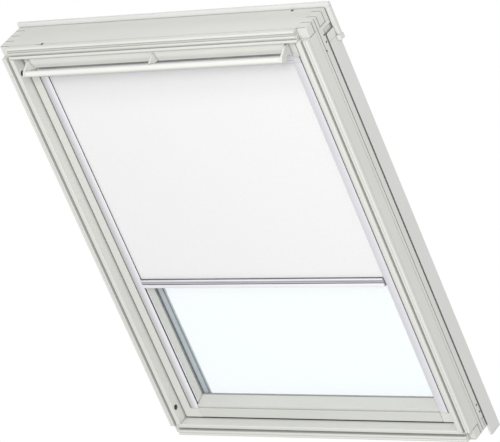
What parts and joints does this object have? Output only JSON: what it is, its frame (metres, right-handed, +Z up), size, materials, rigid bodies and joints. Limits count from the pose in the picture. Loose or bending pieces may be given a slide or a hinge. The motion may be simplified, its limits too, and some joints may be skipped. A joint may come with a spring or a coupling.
{
  "type": "roof window with roller blind",
  "caption": "Centre-pivot roof window frame and sash with a vent flap, control bar and a roller blind running in side channels.",
  "frame": {"origin": "middle of the frame's lower outer face, halfway through its depth", "axes": "+X across the window to the right seen from the room, +Y from the room to the sky, +Z up the slope of the roof"},
  "size_m": [0.7955, 0.1171, 1.0115],
  "materials": {
    "white_wood": "white paint, satin",
    "white_metal": "white coating, satin",
    "white_plastic": "white, satin",
    "pale_aluminium": "pale lavender-white coating, satin",
    "steel": "zinc plated",
    "brass": "turned",
    "black_rubber": "matt",
    "dark_plastic": "matt",
    "blind_fabric": "coated blackout cloth, off-white",
    "glass": "clear, faint blue",
    "spacer": "grey, matt"
  },
  "bodies": {
    "frame": {"frame_left": "white_wood", "frame_right": "white_wood", "frame_top": "white_wood", "frame_bottom": "white_wood", "front_strip_left": "white_wood", "front_strip_right": "white_wood", "front_strip_top": "white_wood", "front_strip_bottom": "white_wood", "strike_plate": "steel", "top_cover": "white_metal", "cover_return_left": "white_metal", "cover_return_right": "white_metal", "side_cover_left": "white_metal", "side_cover_right": "white_metal", "frame_gasket_upper": "black_rubber", "frame_gasket_lower": "black_rubber", "pivot_plate_left": "steel", "pivot_plate_right": "steel", "bolt_socket_lower_left": "dark_plastic", "bolt_socket_lower_right": "dark_plastic", "bolt_socket_upper_left": "dark_plastic", "bolt_socket_upper_right": "dark_plastic"},
    "sash": {"sash_left": "white_wood", "sash_right": "white_wood", "sash_top": "white_wood", "sash_bottom": "white_wood", "inner_pane": "glass", "outer_pane": "glass", "pane_spacer": "spacer", "glazing_gasket": "black_rubber", "sash_cover_left": "white_metal", "sash_cover_right": "white_metal", "sash_cover_top": "white_metal", "sash_cover_bottom": "white_metal", "pivot_bush_left": "brass", "pivot_bush_right": "brass", "lock_case": "steel", "flap_bearing_left": "white_metal", "flap_bearing_right": "white_metal", "channel_left": "pale_aluminium", "channel_right": "pale_aluminium", "blind_casing": "pale_aluminium", "casing_end_left": "pale_aluminium", "casing_end_right": "pale_aluminium", "blind_fabric": "blind_fabric"},
    "vent": {"vent_flap": "white_plastic", "control_bar": "white_metal", "bar_bracket_left": "white_plastic", "bar_bracket_middle": "white_plastic", "bar_bracket_right": "white_plastic"},
    "latch": {"latch_bolt": "steel"},
    "roller": {"roller_tube": "pale_aluminium", "wound_fabric": "blind_fabric", "roller_plug_left": "dark_plastic", "roller_plug_right": "dark_plastic"},
    "blind": {"blind_bar": "pale_aluminium", "blind_shoe_left": "dark_plastic", "blind_shoe_right": "dark_plastic"}
  },
  "joints": [
    {"name": "sash_pivot", "type": "hinge", "parent": "frame", "child": "sash", "pos_m": [0, 0.008, 0.4905], "axis": [1, 0, 0], "range_deg": [0, 170]},
    {"name": "flap_pivot", "type": "hinge", "parent": "sash", "child": "vent", "pos_m": [0, -0.025, 0.9205], "axis": [1, 0, 0], "range_deg": [0, 30]},
    {"name": "latch_slide", "type": "slide", "parent": "sash", "child": "latch", "axis": [0, 0, 1], "range_m": [-0.006, 0]},
    {"name": "blind_slide", "type": "slide", "parent": "sash", "child": "blind", "axis": [0, 0, 1], "range_m": [-0.296, 0.5], "deforming": ["blind_fabric"]},
    {"name": "roller_turn", "type": "hinge", "parent": "sash", "child": "roller", "pos_m": [0, -0.0053, 0.9102], "axis": [1, 0, 0], "continuous": true}
  ],
  "couplings": [
    {"joint": "latch_slide", "follows": "flap_pivot", "m_per_rad": -0.011459},
    {"joint": "roller_turn", "follows": "blind_slide", "rad_per_m": -105.3}
  ]
}
